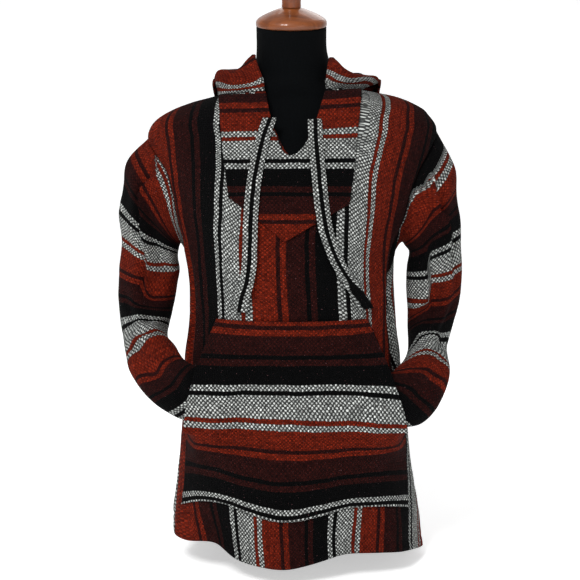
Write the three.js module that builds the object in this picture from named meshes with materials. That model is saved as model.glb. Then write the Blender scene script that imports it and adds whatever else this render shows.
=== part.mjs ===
// A striped baja hoodie worn by a limbless dress form with a turned wooden neck cap.
// Millimetres, +Z up. The form stands on z = 0 and the garment faces -Y, so the
// wearer's right side is at -X. Pieces are named for the wearer's right and left.
import * as THREE from 'three';

const DEGREE = Math.PI / 180;

// Cloth and the clearances between the pieces
const CLOTH = 2.4; // the woven blanket cloth
const SEAM_GAP = 0.4; // between two pieces that are sewn edge to edge
const LAY_GAP = 1.1; // under a piece that lies on another
const REST_GAP = 0.6; // between the cloth and the form's shoulders

// The main heights of the garment, measured down the centre front
const NECKLINE = 691;
const SHOULDER_END = 625;
const SLIT_FOOT = 597;
const ARMPIT = 455;
const VENT_TOP = 118; // the side seams are open below this

// Rows of numbers become records with named columns.
const table = (columns, ...rows) => {
  const names = columns.split(' ');
  return rows.map((row) => Object.fromEntries(names.map((name, k) => [name, row[k]])));
};

// The garment's body as rings: half is its half width, front and rear its half
// depths. A ring's height is level at the front, side at the sides, back behind.
const BODY = table(
  'level side back half front rear shift',
  [20, 20, 16, 190, 150, 140, 12],
  [62, 62, 60, 189, 149, 138, 9],
  [110, 110, 110, 181, 147, 135, 8],
  [185, 185, 185, 171, 146, 128, 7],
  [300, 300, 300, 162, 140, 115, 4],
  [370, 370, 370, 154, 134, 108, 4],
  [455, 455, 455, 156, 132, 112, 0],
  [530, 530, 535, 184, 124, 118, 2],
  [590, 592, 600, 207, 106, 112, 4],
  [625, 634, 642, 213, 92, 105, 3],
  [641, 651, 656, 205, 85, 99, 0],
  [655, 664, 668, 192, 80, 92, 0],
  [672, 679, 685, 158, 71, 82, 0],
  [691, 692, 701, 106, 62, 70, 0],
);
// The wearer's left shoulder sits higher: the rise for each millimetre to the left, and
// the levels between which it comes in
const SHOULDER_TILT = { slope: 0.04, from: 560, to: 650 };

// How far the armhole edges stand in from the side seam line, in degrees round the body
const ARMHOLE = table(
  'level front rear',
  [455, 0, 0],
  [485, 12, 9],
  [512, 19, 15],
  [545, 24, 18],
  [580, 24, 18],
  [606, 14, 12],
  [625, 0, 0],
);

// The height of the front and back hems, by degrees round from the centre front
const FRONT_HEM = table(
  'turn height',
  [-90, 54],
  [-80, 46],
  [-64, 41],
  [-43, 46],
  [-30, 32],
  [-18, 27],
  [-4, 24],
  [19, 38],
  [34, 36],
  [48, 30],
  [77, 13],
  [90, 10],
);
const BACK_HEM = table('turn height', [90, 12], [130, 20], [180, 16], [230, 22], [270, 40]);

// How far forward of the side the wearer's left side seam runs, in degrees
const SIDE_SEAM = table(
  'level forward',
  [20, 0],
  [110, 7],
  [214, 14],
  [300, 25],
  [400, 25],
  [435, 12],
  [455, 0],
);

// How far a vent's edges stand from the side seam at the hem, in degrees
const VENT = { frontRight: 18, frontLeft: 4, rear: 2 };

// Folds in the body: each runs from low to high while its middle goes from turn to
// turnHigh. A negative rise is a trough. Turns are degrees from the centre front.
const BODY_FOLDS = table(
  'turn turnHigh low high width rise',
  [68, 74, 250, 520, 9, -12],
  [-72, -76, 260, 500, 10, -10],
  [54, 62, 340, 520, 13, 5],
  [-56, -62, 350, 500, 14, 5],
  [-15, -6, -40, 110, 38, 9],
  [-42, -38, -40, 120, 24, -9],
  [24, 20, -40, 110, 26, -8],
  [52, 44, -40, 120, 26, 8],
  [-70, -62, -20, 130, 22, 5],
  [150, 146, 60, 470, 22, -8],
  [172, 176, 0, 420, 26, 8],
  [196, 190, 40, 480, 22, -9],
  [216, 220, 20, 400, 22, 7],
  [128, 132, 20, 420, 20, 7],
  [108, 112, 0, 420, 16, -8],
  [250, 246, 0, 440, 16, -8],
);
const FOLD_FADE = 70; // a fold dies away over this height at each end
const FOLD_REACH = 150; // millimetres round the body for each radian of turn

// The slit of the V neck: its half widths at the neckline, and how it rounds out from its foot
const SLIT = { right: 35, left: 50.5, power: 0.5 };

// The bib: its outer edges, and the lower corners and the tip. It stands off the front
// a little more above the ease's height.
const BIB_TOP = 685;
const BIB_EASE = { from: 640, over: 30, lift: 1 };
const BIB_TIP = { x: -8, level: 479 };
const BIB_CORNER = { right: 540, left: 531 };
const BIB_EDGE = table('level right left', [531, -83.5, 82], [610, -94, 93], [BIB_TOP, -102, 102]);

// The pocket: its top, and where its slanted hand openings start
const POCKET_TOP = 370;
const MOUTH_FOOT = 199;
// Its foot waves with the cloth behind it: the height by share of the width
const POCKET_HEM = table(
  'share height',
  [0, 92],
  [0.13, 106],
  [0.24, 108],
  [0.32, 100],
  [0.42, 91],
  [0.5, 91],
  [0.59, 98],
  [0.7, 106],
  [0.85, 100],
  [1, 88],
);
// Its side edges
const POCKET_EDGE = table(
  'level right left',
  [94, -154, 170],
  [MOUTH_FOOT, -149, 165],
  [290, -133, 141],
  [370, -102, 108],
);
// Where the cuffs are pushed into the pocket, its cloth spans straight across in front
// of the body. Outside the heights and the reach it comes back onto the panel.
const SPAN = { lead: 6, backing: 11, breadth: 150, foot: 150, top: 356, reach: 62, fade: 60 };

// Sleeves as oval sections: the middle, the lean of the section's outer end above the
// horizontal, and its half width and half depth. The last section is the cuff.
const SLEEVE_COLUMNS = 'x y z lean half depth';
const RIGHT_SLEEVE = table(
  SLEEVE_COLUMNS,
  [201.5, 1, 533, 58, 72.5, 50],
  [207, 2, 508, 50, 63, 50],
  [211, 2, 482, 37, 55, 46],
  [208, 3, 452, 27, 48.5, 43],
  [212.5, 5, 421, 16, 45, 42],
  [216.5, 7, 386, 8, 42.5, 41],
  [219, 3, 351, 0, 37, 41],
  [216, -12, 325, -19, 33, 40],
  [201, -42, 301, -37, 38, 34],
  [181, -75, 281, -47, 38, 26],
  [157, -100, 270, -56, 39, 20],
  [134, -114, 260, -62, 37, 14],
  [109, -124, 250, -66, 28, 9],
);
const LEFT_SLEEVE = table(
  SLEEVE_COLUMNS,
  [206, 1, 527, 54.5, 66.5, 50],
  [210, 2, 504, 45, 54, 50],
  [216, 2, 482, 31, 45, 46],
  [215.5, 3, 453, 21, 43, 43],
  [216.5, 5, 426, 10, 42.5, 42],
  [216, 7, 386, 2, 40, 41],
  [212, 3, 350, -3, 35, 41],
  [206, -12, 317, -6, 29, 40],
  [201, -44, 290, -27, 35, 34],
  [184, -80, 268, -46, 41, 26],
  [163, -104, 255, -56, 42, 20],
  [141, -118, 249, -60, 37, 14],
  [117, -127, 243, -64, 28, 9],
);
// Folds in the sleeves, by degrees round from the outer end over the front, and by
// section from the armhole (0) to the cuff (13)
const SLEEVE_FOLDS = table(
  'turn turnHigh low high width rise',
  [28, 52, 0.5, 5.5, 16, -5],
  [70, 84, 1, 6, 15, 4],
  [120, 100, 2, 7, 14, -5],
  [20, 60, 6, 9, 16, -5],
  [100, 140, 6.5, 9.5, 16, 4],
  [60, 110, 8, 12, 16, -4],
  [210, 230, 1, 7, 20, -6],
  [290, 280, 1, 6, 22, 5],
  [250, 250, 6, 10, 18, -5],
);
const SLEEVE_FADE = 1.2;
const SLEEVE_REACH = 42;

// One half of the dropped hood, from the corner of the neck slit (0) round to the
// centre back (1). The cloth leaves the neckline, turns over at the crest, runs down
// behind the shoulders, turns up at the bottom and ends at the face edge.
const HOOD = table(
  'way cx cy cz ix iy iz bx by bz ox oy oz ex ey ez',
  [0, 42, -58, 705, 44, -55, 716, 46, -50, 727, 48, -44, 737, 50, -36, 744],
  [0.09, 56, -54, 705, 59, -51, 716, 62, -46, 726, 61, -38, 736, 56, -28, 743],
  [0.2, 76, -48, 706, 80, -46, 716, 80, -40, 721, 74, -30, 725, 62, -17, 729],
  [0.42, 111, 0, 706, 114, 6, 714, 114, 14, 720, 106, 22, 724, 80, 24, 728],
  [0.62, 108, 46, 714, 114, 76, 700, 114, 102, 664, 118, 112, 698, 98, 84, 726],
  [0.82, 72, 82, 728, 90, 124, 634, 84, 142, 546, 98, 172, 636, 72, 130, 728],
  [1, 0, 92, 736, 0, 128, 620, 0, 156, 500, 0, 194, 600, 0, 162, 726],
);
// The hood lies wider and lower over the wearer's left shoulder.
const HOOD_SPREAD = { right: 0.97, left: 1.14 };
// How far its front corners lean to the left at the foot and at the top, and how far they
// dip and its crest sags
const HOOD_CORNER = {
  right: { foot: 5, top: -1, dip: 0, drop: 0 },
  left: { foot: 8, top: 7, dip: 4, drop: 11.5 },
  low: 705,
  high: 732,
  reach: 0.35,
  sagAt: 0.33,
  sagWidth: 0.13,
};

// The ties lie on the front: how far to the side, and the height
const TIE = { width: 20, depth: 4, sides: 8, steps: 16, lift: 6.6 };
const RIGHT_TIE = table(
  'x level',
  [-28, 650],
  [-37, 620],
  [-46, 578],
  [-51, 538],
  [-53, 503],
  [-53.5, 474],
  [-54, 450],
  [-58, 422],
  [-64, 401],
  [-68, 382],
);
const LEFT_TIE = table(
  'x level',
  [34, 646],
  [36, 606],
  [39, 568],
  [43.5, 521],
  [50.5, 485],
  [64, 450],
  [82, 420],
  [97, 397],
  [104, 384],
);

// The dress form below and above the shoulders. bow 2 keeps a ring's front and back
// height local, bow 1 tilts the whole ring.
const FORM_COLUMNS = 'level side back half front rear bow shift';
const FORM_TRUNK = table(
  FORM_COLUMNS,
  [0, 0, 0, 74, 58, 74, 2, 0],
  [26, 26, 26, 78, 60, 76, 2, 0],
  [44, 44, 44, 128, 92, 96, 2, 0],
  [62, 62, 62, 152, 110, 108, 2, 0],
  [90, 90, 90, 160, 117, 112, 2, 0],
  [140, 140, 140, 160, 118, 114, 2, 0],
  [235, 235, 235, 137, 104, 96, 2, 0],
  [330, 330, 330, 112, 92, 77, 2, 0],
  [410, 410, 410, 124, 106, 84, 2, 0],
  [485, 485, 490, 141, 121, 99, 2, 0],
  [550, 552, 560, 156, 110, 105, 2, 0],
  [600, 602, 612, 176, 94, 101, 2, 0],
);
const FORM_NECK = table(
  FORM_COLUMNS,
  [700, 705, 713, 64, 51, 52, 1, 1],
  [713, 720, 731, 56, 47, 46, 1, 4],
  [732, 740, 751, 53.4, 47, 46, 1, 3.6],
  [747, 756, 768, 51.4, 47, 46, 1, 2.4],
  [775.1, 787.5, 799.9, 51.3, 48, 48, 1, 2],
);
const NECK_TOP = FORM_NECK[FORM_NECK.length - 1];
// The shoulders follow the garment's rings from below, drawn in to their own round ends.
const FORM_SHOULDERS = table(
  'level narrow',
  [622, 0.82],
  [638, 0.89],
  [653, 0.96],
  [664, 1],
  [676, 1],
  [687, 0.96],
);
const CHEST_SLACK = 13; // the cloth stands this much further off the chest and back

const CAP = { radius: 52, rim: 6, rise: 27, crown: 15, swell: 0.65, lean: 14.5 };
const FINIAL = { base: 14, waist: 13.8, top: 16.2, rise: 62 };

// Colours
const cloth = (color) => new THREE.MeshStandardMaterial({ color, roughness: 0.95 });
const RED_CLOTH = cloth(0x8a3320);
const DARK_CLOTH = cloth(0x2a1a1c);
const PALE_CLOTH = cloth(0x8f8b85);
const JERSEY = cloth(0x15171a);
const WOOD = new THREE.MeshStandardMaterial({ color: 0xa8673a, roughness: 0.35 });

const sideName = (side) => (side < 0 ? 'right' : 'left');
const mix = (a, b, share) => a + (b - a) * share;
const clamp = (value, low, high) => Math.min(Math.max(value, low), high);
const smooth = (value) => {
  const t = clamp(value, 0, 1);
  return t * t * (3 - 2 * t);
};
const steps = (from, to, count) => Array.from({ length: count }, (_, k) => mix(from, to, k / count));

// Every column of a table at a value of its first column, along a smooth curve
// through the rows and straight on past its ends.
function read(rows, at) {
  const [key] = Object.keys(rows[0]);
  const last = rows.length - 1;
  let k = 0;
  while (k < last - 1 && at > rows[k + 1][key]) k += 1;
  const [a, b] = [rows[k], rows[k + 1]];
  const [before, after] = [rows[Math.max(k - 1, 0)], rows[Math.min(k + 2, last)]];
  const span = b[key] - a[key];
  const raw = (at - a[key]) / span;
  const t = clamp(raw, 0, 1);
  const record = {};
  for (const name of Object.keys(a)) {
    const slopeA = ((b[name] - before[name]) / (b[key] - before[key])) * span;
    const slopeB = ((after[name] - a[name]) / (after[key] - a[key])) * span;
    const inside = (2 * t ** 3 - 3 * t ** 2 + 1) * a[name] + (t ** 3 - 2 * t ** 2 + t) * slopeA
      + (3 * t ** 2 - 2 * t ** 3) * b[name] + (t ** 3 - t ** 2) * slopeB;
    record[name] = inside + (raw - t) * (raw < 0 ? slopeA : slopeB);
  }
  return record;
}

// Thin walls

// A grid of points with its quads. The point function may give one index for two places.
function grid(columns, rows, place, keep = () => true) {
  const points = [];
  const quads = [];
  const index = [];
  for (let j = 0; j <= rows; j += 1) {
    index.push([]);
    for (let i = 0; i <= columns; i += 1) {
      const { point, like } = place(i, j);
      if (like !== undefined) {
        index[j].push(index[like[1]][like[0]]);
      } else {
        index[j].push(points.length);
        points.push(point);
      }
    }
  }
  for (let j = 0; j < rows; j += 1) {
    for (let i = 0; i < columns; i += 1) {
      if (keep(i, j)) quads.push([index[j][i], index[j][i + 1], index[j + 1][i + 1], index[j + 1][i]]);
    }
  }
  return { points, quads, index };
}

function triangles(quads) {
  return quads.flatMap(([a, b, c, d]) => [[a, b, c], [a, c, d]])
    .filter(([a, b, c]) => a !== b && b !== c && c !== a);
}

function normalsOf(points, faces) {
  const normals = points.map(() => new THREE.Vector3());
  for (const [a, b, c] of faces) {
    const one = points[b].clone().sub(points[a]);
    const two = points[c].clone().sub(points[a]);
    const area = one.cross(two);
    for (const k of [a, b, c]) normals[k].add(area);
  }
  return normals.map((normal) => normal.normalize());
}

function solid(points, faces) {
  const geometry = new THREE.BufferGeometry();
  const places = points.flatMap((point) => point.toArray());
  geometry.setAttribute('position', new THREE.Float32BufferAttribute(places, 3));
  geometry.setIndex(faces.flat());
  geometry.computeVertexNormals();
  return geometry;
}

// A closed wall: the outer grid, the same grid moved in by the cloth's thickness, and
// a rim along every free edge. direct may turn the normal that a point moves in along.
function wall({ points, quads, index }, direct = () => {}) {
  const outer = triangles(quads);
  const normals = normalsOf(points, outer);
  index.forEach((row, j) => row.forEach((k, i) => direct(normals[k], i, j)));
  const count = points.length;
  const inner = points.map((point, k) => point.clone().addScaledVector(normals[k], -CLOTH));
  const faces = [...outer, ...outer.map(([a, b, c]) => [a + count, c + count, b + count])];
  const edges = new Set(outer.flatMap(([a, b, c]) => [`${a} ${b}`, `${b} ${c}`, `${c} ${a}`]));
  for (const edge of edges) {
    const [a, b] = edge.split(' ').map(Number);
    if (!edges.has(`${b} ${a}`)) faces.push([a, a + count, b + count], [a, b + count, b]);
  }
  return solid([...points, ...inner], faces);
}

// The garment's body

function ringPoint(row, turn, bow = 2) {
  const c = Math.cos(turn);
  const near = c > 0;
  return new THREE.Vector3(
    (row.shift ?? 0) + row.half * Math.sin(turn),
    -(near ? row.front : row.rear) * c,
    row.side + ((near ? row.level : row.back) - row.side) * Math.abs(c) ** bow,
  );
}

function bodyRing(turn, level) {
  const point = ringPoint(read(BODY, level), turn);
  const { slope, from, to } = SHOULDER_TILT;
  point.z += slope * point.x * smooth((level - from) / (to - from));
  return point;
}

function bodyNormal(turn, level) {
  const small = { turn: 0.01, level: 1.5 };
  const along = bodyRing(turn + small.turn, level).sub(bodyRing(turn - small.turn, level));
  const up = bodyRing(turn, level + small.level).sub(bodyRing(turn, level - small.level));
  return along.cross(up).normalize();
}

// The height of all the folds at a place, for folds given in turns and levels
function foldRise(folds, turn, level, fade, reach) {
  let rise = 0;
  for (const fold of folds) {
    const share = clamp((level - fold.low) / (fold.high - fold.low), 0, 1);
    const middle = mix(fold.turn, fold.turnHigh, share) * DEGREE;
    const away = Math.atan2(Math.sin(turn - middle), Math.cos(turn - middle)) * reach;
    const ends = smooth((level - fold.low) / fade) * smooth((fold.high - level) / fade);
    rise += fold.rise * ends * Math.exp(-((away / fold.width) ** 2));
  }
  return rise;
}

// A point on the draped body's outer face, or lifted off it
function bodyPoint(turn, level, lift = 0) {
  const rise = foldRise(BODY_FOLDS, turn, level, FOLD_FADE, FOLD_REACH);
  return bodyRing(turn, level).addScaledVector(bodyNormal(turn, level), rise + lift);
}

// The turn at which the body reaches a given x
function turnAt(x, level) {
  const row = read(BODY, level);
  return Math.asin(clamp((x - row.shift) / row.half, -1, 1));
}

const slitAt = (level, side) => {
  const share = clamp((level - SLIT_FOOT) / (NECKLINE - SLIT_FOOT), 0, 1);
  return SLIT[sideName(side)] * share ** SLIT.power;
};

// Front and back meet on the side and shoulder seams and part at the armholes.
function seamTurn(level, side, piece) {
  const gap = (SEAM_GAP / 2) / read(BODY, level)[piece];
  const inArmhole = level > ARMPIT && level < SHOULDER_END;
  const dip = inArmhole ? read(ARMHOLE, level)[piece] * DEGREE : 0;
  const open = smooth((VENT_TOP - level) / (VENT_TOP - 20)) * DEGREE;
  const frontVent = side < 0 ? VENT.frontRight : VENT.frontLeft;
  const forward = side > 0 && level < ARMPIT ? read(SIDE_SEAM, level).forward * DEGREE : 0;
  return piece === 'front'
    ? side * (Math.PI / 2 - gap - dip - frontVent * open - forward)
    : side * (Math.PI / 2 + gap + dip + VENT.rear * open - forward);
}

// A seam's cloth edges stay square to the seam, so that the two pieces don't meet inside.
const alongSeam = (normal) => normal.setY(0).normalize();

// Rows of the body from the hem up, in four stretches. The hem gives the first one's foot.
const BODY_ROWS = { hem: 11, armhole: 6, shoulder: 2, neck: 5 };
const ARMPIT_ROW = BODY_ROWS.hem;
const SLIT_ROW = BODY_ROWS.hem + BODY_ROWS.armhole;
const SHOULDER_ROW = SLIT_ROW + BODY_ROWS.shoulder;
const TOP_ROW = SHOULDER_ROW + BODY_ROWS.neck;
const UPPER_LEVELS = [
  ...steps(ARMPIT, SLIT_FOOT, BODY_ROWS.armhole),
  ...steps(SLIT_FOOT, SHOULDER_END, BODY_ROWS.shoulder),
  ...steps(SHOULDER_END, NECKLINE, BODY_ROWS.neck),
  NECKLINE,
];
const levelOfRow = (row, hem) => (row < ARMPIT_ROW
  ? mix(hem, ARMPIT, row / ARMPIT_ROW)
  : UPPER_LEVELS[row - ARMPIT_ROW]);

// A grid in two halves that share their middle column up to the foot of the neck slit
function splitGrid(half, rows, slitRow, place) {
  const columns = 2 * half + 1;
  return grid(
    columns,
    rows,
    (i, j) => (i === half + 1 && j <= slitRow
      ? { like: [half, j] }
      : { point: i <= half ? place(-1, i / half, j) : place(1, (columns - i) / half, j) }),
    (i) => i !== half,
  );
}

function frontPanel() {
  const place = (side, share, row) => {
    const outerHem = side * 80 * (1 - share);
    const level = levelOfRow(row, read(FRONT_HEM, outerHem).height);
    const edge = seamTurn(level, side, 'front');
    const middle = side * turnAt(slitAt(level, side) + read(BODY, level).shift, level);
    const centre = level > SLIT_FOOT ? middle : 0;
    return bodyPoint(mix(edge, centre, share), level);
  };
  const half = 12;
  const direct = (normal, i) => {
    if (i === 0 || i === 2 * half + 1) alongSeam(normal);
  };
  return wall(splitGrid(half, TOP_ROW, SLIT_ROW, place), direct);
}

function backPanel() {
  const columns = 22;
  const place = (i, row) => {
    const share = i / columns;
    const level = levelOfRow(row, read(BACK_HEM, mix(90, 270, share)).height);
    const left = seamTurn(level, 1, 'rear');
    const right = 2 * Math.PI + seamTurn(level, -1, 'rear');
    return { point: bodyPoint(mix(left, right, share), level) };
  };
  const direct = (normal, i) => {
    if (i === 0 || i === columns) alongSeam(normal);
  };
  return wall(grid(columns, TOP_ROW, place), direct);
}

// Bib and pocket, which lie on the front

function bib() {
  const half = 8;
  const low = 5;
  const high = 6;
  const place = (side, share, row) => {
    const name = sideName(side);
    const foot = mix(BIB_CORNER[name], BIB_TIP.level, share);
    const level = row <= low
      ? mix(foot, SLIT_FOOT, row / low)
      : mix(SLIT_FOOT, BIB_TOP, (row - low) / high);
    const outer = read(BIB_EDGE, level)[name];
    const lean = clamp((SLIT_FOOT - level) / (SLIT_FOOT - BIB_TIP.level), 0, 1);
    const inner = level > SLIT_FOOT ? side * slitAt(level, side) : BIB_TIP.x * lean;
    const lift = LAY_GAP + CLOTH + BIB_EASE.lift * smooth((level - BIB_EASE.from) / BIB_EASE.over);
    return bodyPoint(turnAt(mix(outer, inner, share), level), level, lift);
  };
  return wall(splitGrid(half, low + high, low, place));
}

// How far the pocket's cloth has left the body for the straight span, from 0 to 1
function pocketOpen(edgeDistance, level) {
  const atEdge = smooth((level - MOUTH_FOOT) / 16);
  const inside = smooth((level - SPAN.foot) / 70);
  const low = mix(atEdge, inside, smooth(edgeDistance / 40));
  const high = smooth((SPAN.top - level) / 56);
  const across = 1 - smooth((edgeDistance - SPAN.reach) / SPAN.fade);
  return low * high * across;
}

function pocket() {
  const columns = 20;
  const low = 4;
  const high = 9;
  const place = (i, row) => {
    const share = i / columns;
    const level = row <= low
      ? mix(read(POCKET_HEM, share).height, MOUTH_FOOT, row / low)
      : mix(MOUTH_FOOT, POCKET_TOP, (row - low) / high);
    const edge = read(POCKET_EDGE, level);
    const [from, to] = [turnAt(edge.right, level), turnAt(edge.left, level)];
    const turn = mix(from, to, share);
    const point = bodyPoint(turn, level, LAY_GAP + CLOTH);
    const span = read(BODY, level).front + SPAN.lead - SPAN.backing * (point.x / SPAN.breadth) ** 2;
    const open = pocketOpen(Math.min(turn - from, to - turn) * FOLD_REACH, level);
    point.y = Math.min(point.y, mix(point.y, -span, open));
    return { point };
  };
  return wall(grid(columns, low + high, place));
}

// Sleeves

const ARMHOLE_ROWS = SHOULDER_ROW - ARMPIT_ROW;

// The armhole's edge from the shoulder down the front to the armpit and up the back
function armholeEdge(side) {
  const edge = [];
  for (let k = 0; k < 2 * ARMHOLE_ROWS; k += 1) {
    const piece = k < ARMHOLE_ROWS ? 'front' : 'rear';
    const row = k < ARMHOLE_ROWS ? SHOULDER_ROW - k : ARMPIT_ROW + (k - ARMHOLE_ROWS);
    const level = levelOfRow(row, 0);
    const onSeam = row === SHOULDER_ROW || row === ARMPIT_ROW;
    const turn = onSeam ? side * Math.PI / 2 : seamTurn(level, side, piece);
    const point = bodyPoint(turn, level);
    const normal = bodyNormal(turn, level);
    edge.push({ point, normal });
  }
  const centre = new THREE.Vector3();
  for (const { point } of edge) centre.addScaledVector(point, 1 / edge.length);
  // Each point moves off the panel into the hole, square to the edge and along the cloth.
  return edge.map(({ point, normal }, k) => {
    const next = edge[(k + 1) % edge.length].point;
    const last = edge[(k + edge.length - 1) % edge.length].point;
    const off = next.clone().sub(last).cross(normal).normalize();
    if (off.dot(centre.clone().sub(point)) < 0) off.negate();
    return { point: point.clone().addScaledVector(off, 1.5 * SEAM_GAP), off };
  });
}

function sleeveSection(rows, k, side) {
  const row = rows[k];
  const middle = (r) => new THREE.Vector3(side * r.x, r.y, r.z);
  const before = middle(rows[Math.max(k - 1, 0)]);
  const after = middle(rows[Math.min(k + 1, rows.length - 1)]);
  const lean = row.lean * DEGREE;
  const outward = new THREE.Vector3(side * Math.cos(lean), 0, Math.sin(lean));
  const down = after.sub(before).normalize();
  const forward = down.clone().cross(outward).multiplyScalar(side).normalize();
  return { middle: middle(row), outward, forward, half: row.half, depth: row.depth };
}

function sleeve(rows, side) {
  const edge = armholeEdge(side);
  const around = edge.length;
  const rings = [edge.map(({ point }) => point)];
  rows.forEach((row, k) => {
    const section = sleeveSection(rows, k, side);
    rings.push(edge.map((_, i) => {
      const turn = (i / around) * 2 * Math.PI;
      const rise = foldRise(SLEEVE_FOLDS, turn, k + 1, SLEEVE_FADE, SLEEVE_REACH);
      return section.middle.clone()
        .addScaledVector(section.outward, (section.half + rise) * Math.cos(turn))
        .addScaledVector(section.forward, (section.depth + rise) * Math.sin(turn));
    }));
  });
  const lines = edge.map((_, i) => new THREE.CatmullRomCurve3(rings.map((ring) => ring[i])));
  const length = 18;
  const lineAt = (i) => (side > 0 ? i : around - i) % around;
  const place = (i, j) => (i === around
    ? { like: [0, j] }
    : { point: lines[lineAt(i)].getPoint(j / length) });
  const direct = (normal, i, j) => {
    const { off } = edge[lineAt(i)];
    if (j === 0) normal.addScaledVector(off, -Math.max(normal.dot(off), 0)).normalize();
  };
  return wall(grid(around, length, place), direct);
}

// Hood

// A place on the neckline, from the slit's corner (0) round the shoulder to the back (1)
function necklinePoint(way, side) {
  const from = turnAt(SLIT[sideName(side)] + 1, NECKLINE);
  const turn = mix(from, Math.PI, way ** 0.9);
  const lift = SEAM_GAP * 2;
  return bodyPoint(side * turn, NECKLINE).add(new THREE.Vector3(0, 0, lift));
}

function hoodHalf(side) {
  const around = 13;
  const down = 18;
  const spread = HOOD_SPREAD[sideName(side)];
  const { foot, top, dip, drop } = HOOD_CORNER[sideName(side)];
  const seamGap = SEAM_GAP / 2;
  const place = (i, j) => {
    const way = side > 0 ? i / around : 1 - i / around;
    const row = read(HOOD, way);
    const out = side * mix(1, spread, Math.sin(way * Math.PI));
    const knots = [
      necklinePoint(way, side),
      new THREE.Vector3(out * row.cx, row.cy, row.cz),
      new THREE.Vector3(out * row.ix, row.iy, row.iz),
      new THREE.Vector3(out * row.bx, row.by, row.bz),
      new THREE.Vector3(out * row.ox, row.oy, row.oz),
      new THREE.Vector3(out * row.ex, row.ey, row.ez),
    ];
    const corner = 1 - smooth(way / HOOD_CORNER.reach);
    const sag = Math.exp(-(((way - HOOD_CORNER.sagAt) / HOOD_CORNER.sagWidth) ** 2));
    for (const knot of knots.slice(1)) {
      const share = clamp((knot.z - HOOD_CORNER.low) / (HOOD_CORNER.high - HOOD_CORNER.low), 0, 1);
      knot.x += mix(foot, top, share) * corner;
      knot.z -= (dip * corner + drop * sag) * share;
    }
    const point = new THREE.CatmullRomCurve3(knots).getPoint(j / down);
    point.x = side * Math.max(side * point.x, 0) + side * seamGap;
    return { point };
  };
  const seamColumn = side > 0 ? around : 0;
  const direct = (normal, i) => {
    if (i === seamColumn) normal.setX(0).normalize();
  };
  return wall(grid(around, down, place), direct);
}

// Ties

function tie(rows) {
  const outline = new THREE.Shape();
  for (let k = 0; k < TIE.sides; k += 1) {
    const turn = ((k + 0.5) / TIE.sides) * 2 * Math.PI;
    const flat = (value) => Math.sign(value) * Math.abs(value) ** 0.6;
    const [x, y] = [flat(Math.cos(turn)) * TIE.width / 2, flat(Math.sin(turn)) * TIE.depth / 2];
    if (k === 0) outline.moveTo(x, y);
    else outline.lineTo(x, y);
  }
  const geometry = new THREE.ExtrudeGeometry(outline, { depth: 1, steps: TIE.steps, bevelEnabled: false });
  const route = new THREE.SplineCurve(rows.map((row) => new THREE.Vector2(row.x, row.level)));
  const places = geometry.attributes.position;
  for (let k = 0; k < places.count; k += 1) {
    const at = route.getPoint(clamp(places.getZ(k), 0, 1));
    const turn = turnAt(at.x + places.getX(k), at.y);
    const point = bodyPoint(turn, at.y, TIE.lift + places.getY(k));
    places.setXYZ(k, point.x, point.y, point.z);
  }
  geometry.computeVertexNormals();
  return geometry;
}

// Dress form

function formTorso() {
  const around = 28;
  const ringOf = (row) => Array.from({ length: around }, (_, k) => {
    return ringPoint(row, (k / around) * 2 * Math.PI, row.bow);
  });
  const shoulderRing = ({ level, narrow }) => Array.from({ length: around }, (_, k) => {
    const turn = (k / around) * 2 * Math.PI;
    const inset = CLOTH + REST_GAP + CHEST_SLACK * Math.cos(turn) ** 2;
    const point = bodyRing(turn, level).addScaledVector(bodyNormal(turn, level), -inset);
    return point.setX(point.x * narrow);
  });
  const rings = [
    ...FORM_TRUNK.map(ringOf),
    ...FORM_SHOULDERS.map(shoulderRing),
    ...FORM_NECK.map(ringOf),
  ];
  const points = rings.flat();
  const [foot, top] = [points.length, points.length + 1];
  const lastRing = (rings.length - 1) * around;
  const faces = [];
  for (let j = 0; j < rings.length - 1; j += 1) {
    for (let i = 0; i < around; i += 1) {
      const [a, b] = [j * around + i, j * around + ((i + 1) % around)];
      faces.push([a, b, b + around], [a, b + around, a + around]);
    }
  }
  for (let i = 0; i < around; i += 1) {
    const next = (i + 1) % around;
    faces.push([foot, next, i], [top, lastRing + i, lastRing + next]);
  }
  const { side, shift } = NECK_TOP;
  points.push(new THREE.Vector3(0, 0, 0), new THREE.Vector3(shift, 0, side));
  return solid(points, faces);
}

function neckCap() {
  const profile = [new THREE.Vector2(0, 0), new THREE.Vector2(CAP.radius, 0)];
  const dome = 6;
  for (let k = 0; k <= dome; k += 1) {
    const turn = (k / dome) * 90 * DEGREE;
    const out = mix(CAP.crown, CAP.radius, Math.cos(turn));
    const up = Math.pow(1 - Math.cos(turn), CAP.swell);
    profile.push(new THREE.Vector2(out, mix(CAP.rim, CAP.rise, up)));
  }
  profile.push(new THREE.Vector2(0, CAP.rise));
  return new THREE.LatheGeometry(profile, 30).rotateX(Math.PI / 2);
}

function finial() {
  const profile = [
    [0, 0],
    [FINIAL.base, 0],
    [FINIAL.base, 3],
    [FINIAL.waist, 7],
    [FINIAL.waist + 1, 18],
    [FINIAL.top - 1, 34],
    [FINIAL.top, 44],
    [FINIAL.top - 2, 53],
    [FINIAL.top - 7, 60],
    [0, FINIAL.rise],
  ].map(([x, y]) => new THREE.Vector2(x, y));
  return new THREE.LatheGeometry(profile, 18).rotateX(Math.PI / 2);
}

function named(name, geometry, material, parent) {
  const mesh = new THREE.Mesh(geometry, material);
  mesh.name = name;
  parent.add(mesh);
  return mesh;
}

const hoodie = new THREE.Group();
named('form_torso', formTorso(), JERSEY, hoodie);

// The cap and the finial lean forward together with the slanted top of the neck.
const head = new THREE.Group();
head.position.set(NECK_TOP.shift, 0, NECK_TOP.side + REST_GAP / 2);
head.rotation.x = CAP.lean * DEGREE;
hoodie.add(head);
named('neck_cap', neckCap(), WOOD, head);
named('finial', finial(), WOOD, head).position.z = CAP.rise + REST_GAP / 2;

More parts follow.
